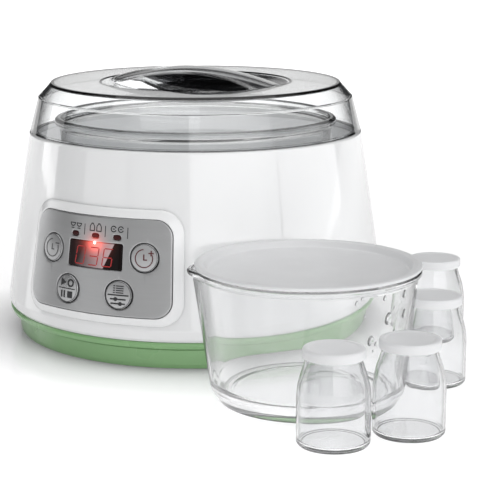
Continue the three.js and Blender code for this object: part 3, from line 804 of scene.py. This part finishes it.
def base_tray():
    tray_z = 1.6
    tray = spin("tray_shell", [
        (0, tray_z),
        (109.4, tray_z, 0.3),
        (110.2, 0.4, 0.3),
        (112.6, 0.4, 0.7),
        (113.3, tray_z + 1.4, 0.8),
        (113.4, 11.6, 0.5),
        (112.6, 12.2, 0.3),
        (112.6, 13.2, 0.3),
        (118.4, 13.6, 0.9),
        (119.4, 16.2, 1.0),
        (118.6, BODY_BOTTOM_Z - 0.3, 0.4),
        (114, BODY_BOTTOM_Z - 0.3, 0.3),
        (114, 22, 0.4),
        (112, 22, 0.4),
        (110.6, 14.6, 1),
        (109.6, tray_z + 2.6, 1.5),
        (0, tray_z + 2.6),
    ], UNIT, GREEN, steps=6)
    tray.visible_diffuse = False
    for i in range(1, 5):
        recess = spin("recess", [(0, -1), (3.8, -1), (3.8, tray_z + 2.2), (0, tray_z + 2.2)],
                      centre_of(f"housing_screw_{i}"), GREEN, 32)
        cut_away(tray, recess)
    smooth_faces(tray.data, 35)
    settle(tray, "unit", "green_tray", "base_tray")


def feet():
    for i in range(1, 5):
        low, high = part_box(f"foot_{i}")
        radius = (high.x - low.x) / 2 / MM
        height = high.z / MM
        pad = spin(f"foot_pad_{i}", [
            (0, 0.35), (radius - 2.2, 0.35, 0.2), (radius - 1.6, 0, 0.3), (radius, 0, 0.4),
            (radius, height, 0.2), (0, height)], centre_of(f"foot_{i}"), FRAME_PAINTS["rubber"], 48)
        settle(pad, "unit", "rubber", f"foot_{i}")


def chamber():
    floor = 29.0
    wall = 1.8
    liner = spin("chamber_liner", [
        (0, floor),
        (79.0, floor, 9),
        (88.8, 115.0, 1.4),
        (91.4, 117.0, 1.5),
        (100.6, 123.3, 0.5),
        (101.1, 122.6, 0.3),
        (101.1, 119.3, 0.3),
        (96.4, 119.3, 0.5),
        (88.8 + wall, 114.4, 1.5),
        (79.0 + wall, floor - wall, 10.8),
        (0, floor - wall),
    ], UNIT, LINER, steps=8)
    settle(liner, "unit", "liner", "heating_chamber")


# ---- lid: a turned shell whose middle is a dish crossed by a raised grip ----

def smooth_step(value, low, high):
    t = min(1.0, max(0.0, (value - low) / (high - low)))
    return t * t * (3 - 2 * t)


def dish_z(r):
    return LID_TOP_Z - 0.5 - (DISH_DEPTH - 0.5) * (1 - min(1.0, r / DISH_R) ** 2.2)


def grip_half_width(x):
    return GRIP_WAIST + GRIP_WAIST * (x / GRIP_REACH) ** 2


def grip_z(x):
    ends = LID_TOP_Z - 1.2
    return ends + (GRIP_TOP_Z - ends) * (1 - (x / 62) ** 2)


def grip_rows(x, edge, inset):
    """Row positions, -1 to 1, that crowd round the grip's two flanks."""
    if edge < 1e-6:
        return [0.0]
    top = min((grip_half_width(x) - inset) / edge, 0.93)
    foot = min(top + GRIP_FLARE / edge, 0.97)
    half = ([top * t / 6 for t in range(6)]
            + [top + (foot - top) * t / 6 for t in range(6)]
            + [foot + (1 - foot) * (t / 12) for t in range(13)])
    return [-t for t in reversed(half[1:])] + half


def centre_surface(x, y, drop):
    """Height of the lid's middle: the dish, or the grip where it stands above the dish."""
    dish = dish_z(math.hypot(x, y)) - drop
    top = grip_z(x) - drop - 0.035 * y * y / max(1.0, grip_half_width(x) / GRIP_WAIST)
    half = grip_half_width(x) - drop
    across = smooth_step(abs(y), half, half + GRIP_FLARE)
    fade = smooth_step(abs(x), DISH_R - drop - 1.0, DISH_R + 2.4 - drop)
    raised = top + (dish - top) * across
    return max(dish, raised) * (1 - fade) + dish * fade


def lid_centre(bm, radius, drop):
    """The dish and grip patch, whose edge falls on the turned shell's first or last ring."""
    columns = []
    for k in range(SEGMENTS // 2 + 1):
        angle = 2 * math.pi * k / SEGMENTS
        x = -radius * math.cos(angle)
        edge = radius * math.sin(angle)
        ys = [edge * t for t in grip_rows(x, edge, drop)]
        columns.append([bm.verts.new(UNIT + Vector((x, y, centre_surface(x, y, drop))) * MM) for y in ys])
    for left, right in zip(columns, columns[1:]):
        if len(left) == 1:
            left = left * len(right)
        if len(right) == 1:
            right = right * len(left)
        for j in range(len(left) - 1):
            corners = [left[j], right[j], right[j + 1], left[j + 1]]
            unique = list(dict.fromkeys(corners))
            if len(unique) >= 3:
                bm.faces.new(unique)


def clear_lid():
    inner_r = DISH_R - 1.2
    outline = rounded([
        (DISH_R, dish_z(DISH_R)),
        (DISH_R + 0.8, LID_TOP_Z, 0.7),
        (LID_TOP_R, LID_TOP_Z, 0.7),
        (98.9, 148.0, 1.6),
        (RIM_R - 0.4, RIM_Z + GAP, 0.3),
        (101, RIM_Z + GAP, 0.2),
        (101, 123.6, 0.4),
        (99, 123.6, 0.4),
        (99, 127.6, 0.3),
        (101.8, 127.6, 0.2),
        (96.3, 147.0, 2.4),
        (89.6, LID_TOP_Z - LID_WALL, 2.0),
        (inner_r + 2.4, LID_TOP_Z - LID_WALL, 1.2),
        (inner_r, dish_z(inner_r) - LID_WALL),
    ], False, 5)
    bm = bmesh.new()
    spin_rings(bm, outline, SEGMENTS, False, UNIT)
    lid_centre(bm, DISH_R, 0)
    lid_centre(bm, inner_r, LID_WALL)
    bmesh.ops.remove_doubles(bm, verts=bm.verts, dist=4e-5)
    lid = new_object("lid_shell", bm, ACRYLIC)
    settle(let_light_through(lid), "lid", "clear_plastic", "clear_lid")


# ---- glassware ----

BOWL_DRAWING = [
    (0, 0.6), (58, 0.6, 2), (62, 0, 1.5), (69.5, 0, 4), (*BOWL_WALL_FOOT, 9), (*BOWL_WALL_TOP, 6),
    (88.7, 102.6, 1.6), (BOWL_RIM_DRAWN, 105.0, 1.6), (87.2, 106.5, 1.4), (84.9, 106.5, 1.2),
    (84.0, 101.5, 6), (72.2, 15, 9), (62, 7.6, 7), (0, 7.0),
]


def bowl(name, scale, centre, base_z, material):
    points = [(r * scale, base_z + z * scale, *[f * scale for f in fillet]) for r, z, *fillet in BOWL_DRAWING]
    return let_light_through(spin(name, points, centre, material, steps=8))


def draw_out_lip(obj, height):
    """The serving bowl's pouring lip, on the side that the frame's bowl has it."""
    direction = math.radians(215)
    half_angle = math.radians(17)
    reach = 4.5
    start = 0.62
    for vertex in obj.data.vertices:
        x, y = vertex.co.x - BOWL.x, vertex.co.y - BOWL.y
        off = math.atan2(y, x) - direction
        apart = abs(math.atan2(math.sin(off), math.cos(off)))
        lift = max(0.0, vertex.co.z / MM / height - start) / (1 - start)
        radius = math.hypot(x, y)
        if apart > half_angle or radius < MM:
            continue
        push = reach * MM * math.cos(apart / half_angle * math.pi / 2) ** 2 * lift ** 2
        vertex.co.x += x / radius * push
        vertex.co.y += y / radius * push


def bowls():
    inner = bowl("bowl_in_chamber", SEATED_SCALE, UNIT, seated_low.z / MM, GLASS)
    settle(inner, "bowl_inside", "glass", "seated_bowl")
    outer = bowl("bowl_for_serving", SERVING_SCALE, BOWL, 0, BOWL_GLASS)
    draw_out_lip(outer, serving_high.z / MM)
    settle(outer, "bowl_outside", "glass", "serving_bowl")


def droplets():
    """Water drops that hang on the outside of the serving bowl."""
    # degrees round the bowl, share of its height, radius in mm
    spots = [(21, 0.9, 1.3), (24, 0.93, 1.0), (38, 0.91, 1.5), (54, 0.9, 2.2), (42, 0.75, 3.2),
             (56, 0.75, 2.4), (31, 0.61, 2.6), (34.5, 0.58, 1.2), (46, 0.82, 0.8), (66, 0.7, 1.3),
             (68, 0.82, 1.1), (33, 0.53, 0.8), (26, 0.8, 0.9), (60, 0.6, 1.4), (48, 0.64, 1.2),
             (72, 0.9, 1.6)]
    top = serving_high.z / MM
    foot_r, foot_z = BOWL_WALL_FOOT
    slope = (BOWL_WALL_TOP[0] - foot_r) / (BOWL_WALL_TOP[1] - foot_z)
    bm = bmesh.new()
    for degrees, share, radius in spots:
        angle = CAMERA_HEADING - math.pi / 2 + math.radians(degrees)
        height = share * top
        wall = (foot_r + (height / SERVING_SCALE - foot_z) * slope) * SERVING_SCALE
        out = Vector((math.cos(angle), math.sin(angle), 0))
        along = Vector((-math.sin(angle), math.cos(angle), 0))
        up = (Vector((0, 0, 1)) + out * slope).normalized()
        middle = out * (wall - 0.15) + Vector((0, 0, height))
        for vertex in bmesh.ops.create_icosphere(bm, subdivisions=3, radius=1)["verts"]:
            x, z, depth = vertex.co
            sag = 1.0 - 0.22 * z
            spread = out * 0.42 * depth + along * (0.8 * x * sag) + up * (1.1 * z)
            vertex.co = BOWL + (middle + spread * radius) * MM
    drops = let_light_through(new_object("bowl_droplets", bm, GLASS))
    settle(drops, "bowl_outside", "glass", weigh=False)


def bowl_cover():
    seat = serving_high.z / MM + GAP
    cover = spin("cover_disc", [
        (0, seat - 3.8),
        (56.4, seat - 3.8, 1.5),
        (57.9, seat - 1, 1.5),
        (57.9, seat, 0.2),
        (62, seat, 0.5),
        (62, seat + 1.5, 0.8),
        (59.6, seat + 2.0, 2),
        (56.8, seat + 1.6, 1.4),
        (54.8, seat - 2.0, 1.4),
        (30, seat - 2.2, 12),
        (0, seat - 1.8),
    ], BOWL, FROSTED, steps=6)
    settle(cover, "cover", "frosted", "bowl_cover")


def jars():
    top = jar_high.z / MM
    for i, place in enumerate(JARS, 1):
        glass = spin(f"jar_glass_{i}", [
            (0, 0.5), (15.6, 0.3, 0.6), (16.6, 0, 0.6), (17.9, 0, 1.2), (19, 1.6, 1.6),
            (19, 24, 12), (18.5, 30, 10), (17.3, 35.4, 10), (15.5, 40.6, 8), (14.4, 44.4, 4),
            (14.4, top - 0.4, 0.6), (13.6, top, 0.5), (12.9, top - 0.8, 0.4), (12.9, 44.2, 4),
            (14.2, 40.2, 8), (16.0, 35.0, 10), (17.2, 29.6, 10), (17.7, 24, 12), (17.7, 3.4, 1.6),
            (16.6, 2.0, 1.0), (0, 2.1),
        ], place, JAR_GLASS, JAR_SEGMENTS, steps=5)
        settle(let_light_through(glass), f"small_jar_{i}", "glass", f"jar_{i}")
        seat = top + GAP
        cap = spin(f"cap_shell_{i}", [
            (0, seat), (14.8, seat, 0.4), (14.8, 45.4, 0.2), (16.0, 45.4, 0.4), (16.1, 50.5, 1.3),
            (13.4, 50.5, 0.8), (12.4, 50.1, 1.4), (0, 50.1),
        ], place, FROSTED, JAR_SEGMENTS, steps=6)
        settle(cap, f"small_cap_{i}", "frosted", f"jar_cap_{i}")


# ---- control panel ----

def panel_bezel():
    """A frame that slopes from the body up to the plate's edge."""
    outer = panel_rectangle(**BEZEL, steps=14)
    inner = panel_rectangle(**PLATE, grow=GAP, steps=14)
    levels = [(0.0, GAP), (0.0, GAP + 0.5), (0.05, GAP + 1.0), (0.3, 1.9), (0.75, BEZEL_FRONT - 0.35),
              (0.86, BEZEL_FRONT - 0.05), (0.95, BEZEL_FRONT), (1.0, BEZEL_FRONT - 0.25), (1.0, GAP)]
    bm = bmesh.new()
    rings = []
    for mix, depth in levels:
        rings.append([bm.verts.new((ox + (ix - ox) * mix, oz + (iz - oz) * mix, depth))
                      for (ox, oz), (ix, iz) in zip(outer, inner)])
    skin(bm, rings, True)
    bezel = bend_to_panel(new_object("bezel_frame", bm, BEZEL_WHITE))
    settle(bezel, "unit", "bezel", "panel_bezel", weigh=False)


def lamp_places():
    return [(math.radians(angle) * PANEL_R, LAMPS["z"]) for angle in LAMPS["angles"]]


def panel_plate():
    holes = [panel_rectangle(**WINDOW, grow=GAP)]
    holes += [pill(x, z, LAMPS["width"] + 0.4, LAMPS["height"] + 0.4) for x, z in lamp_places()]
    holes += [circle(math.radians(angle) * PANEL_R, z, BUTTON_R + GAP) for angle, z in BUTTONS.values()]
    plate = flat_solid("control_plate", [panel_rectangle(**PLATE), *holes], -1.6, PLATE_FRONT, 0.6, SILVER)
    settle(bend_to_panel(plate), "unit", "silver_plate", "panel_plate", weigh=False)


def segment_outlines(x, z, digit):
    """The lit bars of one seven-bar digit, slanted, centred on (x, z)."""
    width, height, thick = 5.8, 10.2, 0.6
    end_gap, lean = 0.18, 0.12
    half_w, half_h = width / 2, height / 2
    lit = {0: "abcdef", 3: "abcdg", 6: "acdefg"}[digit]
    ends = {
        "a": (-half_w, half_h, half_w, half_h), "b": (half_w, half_h, half_w, 0),
        "c": (half_w, 0, half_w, -half_h), "d": (-half_w, -half_h, half_w, -half_h),
        "e": (-half_w, 0, -half_w, -half_h), "f": (-half_w, half_h, -half_w, 0), "g": (-half_w, 0, half_w, 0)}
    outlines = []
    for bar_name in lit:
        start = Vector(ends[bar_name][:2])
        end = Vector(ends[bar_name][2:])
        along = (end - start).normalized()
        side = Vector((-along.y, along.x)) * (thick / 2)
        start, end = start + along * end_gap, end - along * end_gap
        points = [start, start + along * thick / 2 + side, end - along * thick / 2 + side,
                  end, end - along * thick / 2 - side, start + along * thick / 2 - side]
        outlines.append([(x + p.x + p.y * lean, z + p.y) for p in points])
    return outlines


def display():
    lens = flat_solid("display_lens", [panel_rectangle(**WINDOW)], -1.2, PLATE_FRONT + 0.1, 0.15, DISPLAY)
    settle(bend_to_panel(lens), "unit", "display", "display_window", weigh=False)
    middle = (WINDOW["z0"] + WINDOW["z1"]) / 2 - 0.8
    bars = []
    for x, digit in ((-9.2, 0), (-0.2, 3), (9.0, 6)):
        bars += segment_outlines(x, middle, digit)
    lens_front = PLATE_FRONT + 0.11
    digits = stroke_solids("display_digits", bars, lens_front, PLATE_FRONT + 0.16, DIGITS)
    settle(bend_to_panel(digits), "unit", "lamp", weigh=False)
    # the painted flare at the window's upper edge
    dot = circle(*LIT_SPOT, 0.7, 20)
    spot = stroke_solids("lit_spot", [dot], lens_front, PLATE_FRONT + 0.2, painted_flare())
    settle(bend_to_panel(spot), "unit", "lamp", weigh=False)


def lamps():
    for i, (x, z) in enumerate(lamp_places(), 1):
        material = lamp_red(f"lamp_{i}", 0.09 if i == LIT_LAMP else 0.012)
        lens = flat_solid(f"lamp_cover_{i}", [pill(x, z, LAMPS["width"], LAMPS["height"])],
                          -2.6, PLATE_FRONT + 0.35, 0.3, material)
        settle(bend_to_panel(lens, 0.8), "unit", "lamp", f"lamp_lens_{i}", weigh=False)


def cup_mark(x, z):
    return [bow(x, z + 0.9, 1.6, 180, 360, 0.62), bar(x - 2.0, z + 1.1, x + 2.0, z + 1.1, 0.6),
            bar(x - 1.1, z - 1.8, x + 1.1, z - 1.8, 0.6)]


def bottle_mark(x, z):
    return [bar(x - 1.5, z - 2.1, x - 1.5, z + 0.6, 0.62), bar(x + 1.5, z - 2.1, x + 1.5, z + 0.6, 0.62),
            bar(x - 1.75, z - 2.1, x + 1.75, z - 2.1, 0.62), bar(x - 0.8, z + 2.1, x + 0.8, z + 2.1, 0.7),
            bar(x - 1.5, z + 0.6, x - 0.5, z + 1.9, 0.55), bar(x + 1.5, z + 0.6, x + 0.5, z + 1.9, 0.55)]


def bean_mark(x, z):
    return [bow(x, z, 1.6, 20, 340, 0.66), bar(x - 0.7, z, x + 0.8, z, 0.6)]


def panel_marks():
    """Generic signs over the lamps, with upright rules between them."""
    mark_z = 81.9
    outlines = []
    for (x, _), sign in zip(lamp_places(), (cup_mark, bottle_mark, bean_mark)):
        outlines += sign(x - 2.3, mark_z)
        outlines += sign(x + 2.3, mark_z)
        outlines.append(bar(x + 6.6, mark_z - 5.0, x + 6.6, mark_z + 1.4, 0.5))
    marks = stroke_solids("panel_marks", outlines, PLATE_FRONT - 0.02, PLATE_FRONT + 0.05, DARK_INK)
    settle(bend_to_panel(marks), "unit", "dark_plastic", weigh=False)


# ---- keys ----

def cap_dome(x, y):
    return BUTTON_FRONT - 0.55 * (math.hypot(x, y) / BUTTON_R) ** 2


def clock_signs(plus):
    """A ring open at its upper right, clock hands, and a sign at the opening."""
    signs = [bow(0, -0.2, 5.2, 95, 385, 0.6), bar(-0.1, -1.3, -0.1, 2.2, 0.75),
             bar(-0.45, -1.0, 1.9, -1.0, 0.7), bar(2.6, 2.9, 5.8, 2.9, 0.75)]
    if plus:
        signs.append(bar(4.2, 1.3, 4.2, 2.52, 0.75))
        signs.append(bar(4.2, 3.28, 4.2, 4.5, 0.75))
    return signs


def ring_sign(x, z, radius, width):
    return [bow(x, z, radius, 0, 178, width), bow(x, z, radius, 182, 360, width)]


def start_signs():
    """Start over stop: a triangle and a ring, a line, then two bars and a square."""
    top = [[(-4.6, 1.1), (-0.4, 3.5), (-4.6, 5.9)], *ring_sign(2.9, 3.4, 1.9, 1.0)]
    low = [bar(-4.2, -3.5, -3.0, -3.5, 4.2), bar(-2.0, -3.5, -0.8, -3.5, 4.2), bar(0.9, -3.5, 4.7, -3.5, 4.0)]
    return [*top, bar(-6.4, 0.0, 6.4, 0.0, 0.6), *low]


def function_signs():
    """A list over a line over two sliders."""
    rules = [bar(x0, z, x1, z, 0.6) for z in (5.3, 4.0, 2.7, 1.4) for x0, x1 in ((-3.2, -2.0), (-1.4, 3.4))]
    sliders = [bar(-5.0, -2.4, -2.6, -2.4, 0.9), bar(-0.4, -2.4, 5.0, -2.4, 0.9),
               bar(-4.6, -5.0, 0.4, -5.0, 0.9), bar(2.6, -5.0, 4.6, -5.0, 0.9)]
    knobs = [circle(-1.5, -2.4, 1.2, 20), circle(1.5, -5.0, 1.2, 20)]
    return [*rules, bar(-6.6, 0.0, 6.6, 0.0, 0.8), *sliders, *knobs]


def key_place(angle, z):
    """Carries flat (x, y, out) drawings to a key's own axis."""
    along, up, out, point = panel_frame(math.radians(angle) * PANEL_R, z)

    def place(x, y):
        return along, up, out, point + along * x + up * y
    return place


def key(name, signs, sign_ink):
    angle, z = BUTTONS[name]
    body = name.replace("_button", "_key")
    low_side = -3.0
    outline = rounded([(0, low_side), (BUTTON_R - 0.6, low_side, 0.2), (BUTTON_R, low_side + 0.6, 0.3),
                       (BUTTON_R, BUTTON_FRONT - 0.9, 0.5)], False, 4)
    outline += [(BUTTON_R * t, cap_dome(BUTTON_R * t, 0) - 0.02) for t in (0.96, 0.9, 0.75, 0.5, 0.25)]
    outline.append((0, BUTTON_FRONT))
    bm = bmesh.new()
    spin_rings(bm, outline, 64, False)
    bmesh.ops.scale(bm, verts=bm.verts, vec=(1 / MM,) * 3)
    cap = new_object(f"{body}_cap", bm, KEY_SILVER)
    settle(carry(cap, key_place(angle, z)), body, "button", name, weigh=False)

    drawn = bmesh.new()
    add_annulus(drawn, BUTTON_R - 0.55, BUTTON_R - 0.15, 48)
    ring = new_object(f"{body}_ring", drawn, GREY_INK)
    marks = stroke_solids(f"{body}_signs", signs, 0, 0.09, sign_ink)
    for piece in (ring, marks):
        slice_along(piece, 1.0)
        for vertex in piece.data.vertices:
            vertex.co.z += cap_dome(vertex.co.x, vertex.co.y) + 0.02
        settle(carry(piece, key_place(angle, z)), body, "dark_plastic", weigh=False)


def add_annulus(bm, inner, outer, steps):
    """A thin flat ring about the origin."""
    rings = [[bm.verts.new((r * math.cos(2 * math.pi * k / steps), r * math.sin(2 * math.pi * k / steps), z))
              for k in range(steps)] for r, z in ((inner, 0), (outer, 0), (outer, 0.1), (inner, 0.1))]
    skin(bm, rings, True)


def keys():
    key("time_minus_button", clock_signs(False), GREY_INK)
    key("time_plus_button", clock_signs(True), RED_INK)
    key("start_button", start_signs(), DARK_INK)
    key("function_button", function_signs(), DARK_INK)


# ---- studio ----

def floor():
    paint = Paint("floor", (0.86, 0.86, 0.865), 0.14, Specular_IOR_Level=0.3)
    paint.vary_roughness(0.12, 0.16, 2.0).vary_color(0.99, 1.5)
    # The floor gives light of its own: none near the unit and more outwards, a painted soft shadow round its
    # base; more again far off, so the backdrop stays white.
    from_unit = paint.distance_from(UNIT, flat=True)
    near = paint.span(from_unit, 0.0, 0.44, 0.108, 0.165)
    far = paint.span(from_unit, 0.0, 0.5, 0.3, 1.6)
    paint.glow((1, 1, 1), paint.math("ADD", near, far))
    bm = bmesh.new()
    bmesh.ops.create_grid(bm, x_segments=8, y_segments=8, size=30.0)
    plane = new_object("floor", bm, paint.material)


def area_light(name, place, target, size, power):
    data = bpy.data.lights.new(name, "AREA")
    data.shape = "RECTANGLE"
    data.size, data.size_y = size
    data.energy = power
    light = bpy.data.objects.new(name, data)
    light.location = place
    light.rotation_euler = (Vector(target) - Vector(place)).to_track_quat("-Z", "Y").to_euler()
    bpy.context.scene.collection.objects.link(light)
    return light


def studio_point(right, near, up):
    """A point by its place seen from the camera's side of the unit, in metres."""
    return UNIT + TO_RIGHT * right + TO_CAMERA * near + Vector((0, 0, up))


def lights():
    middle = studio_point(0.05, 0, 0.08)
    high = studio_point(0, 0, 0.3)
    area_light("top_softbox", studio_point(0, 0.1, 1.5), middle, (1.9, 1.3), 8.5)
    area_light("front_softbox", studio_point(0.63, 1.36, 0.5), high, (1.66, 0.9), 7.0)
    area_light("panel_card", studio_point(-1.3, 0.75, 0.16), middle, (0.8, 0.28), 0.5)
    left = area_light("left_softbox", studio_point(-1.39, -0.56, 0.5), high, (0.5, 0.9), 2.4)
    right = area_light("right_softbox", studio_point(1.48, 0.26, 0.5), high, (1.46, 0.9), 5.6)
    for side in (left, right):
        side.visible_transmission = False


def world():
    """A white studio with dark flags high behind the set and at its sides, which the camera doesn't see."""
    studio = bpy.data.worlds.new("studio")
    bpy.context.scene.world = studio
    graph = Graph(studio)
    rays = graph.nodes.new("ShaderNodeTexCoord").outputs["Generated"]

    def along(direction):
        return graph.vector_math("DOT_PRODUCT", rays, direction)

    def ramp(value, start, end, before=0.0, after=1.0):
        return graph.span(value, before, after, start, end, "SMOOTHSTEP")

    sideways = graph.math("ABSOLUTE", along(TO_RIGHT))
    away = along(-TO_CAMERA)
    up = along(Vector((0, 0, 1)))
    far_sides = graph.times(ramp(sideways, 0.14, 0.24), ramp(away, 0.2, 0.4))
    sides = graph.most(ramp(sideways, 0.6, 0.8), far_sides)
    behind = graph.times(ramp(away, 0.3, 0.5), ramp(up, 0.34, 0.44), ramp(up, 0.85, 0.93, 1.0, 0.0))
    camera_ray = graph.nodes.new("ShaderNodeLightPath").outputs["Is Camera Ray"]
    dark = graph.times(graph.most(sides, behind), graph.minus(1.0, camera_ray))
    background = graph.nodes["Background"]
    graph.links.new(graph.mix(dark, (1.0, 1.0, 1.0), (0.06, 0.06, 0.063)), background.inputs["Color"])
    background.inputs["Strength"].default_value = 0.55


def camera():
    data = bpy.data.cameras.new("camera")
    data.lens = CAMERA_LENS
    data.sensor_width = 36
    data.clip_end = 100
    eye = bpy.data.objects.new("camera", data)
    eye.location = studio_point(0, CAMERA_DISTANCE, CAMERA_HEIGHT)
    eye.rotation_euler = (math.pi / 2 - CAMERA_PITCH, 0, CAMERA_HEADING - CAMERA_AIM_RIGHT)
    bpy.context.scene.collection.objects.link(eye)
    bpy.context.scene.camera = eye


camera()
paint_frame_nodes()
outer_housing()
base_tray()
feet()
chamber()
clear_lid()
bowls()
droplets()
bowl_cover()
jars()
panel_bezel()
panel_plate()
display()
lamps()
panel_marks()
keys()
floor()
lights()
world()
bpy.context.scene.view_settings.view_transform = "Standard"
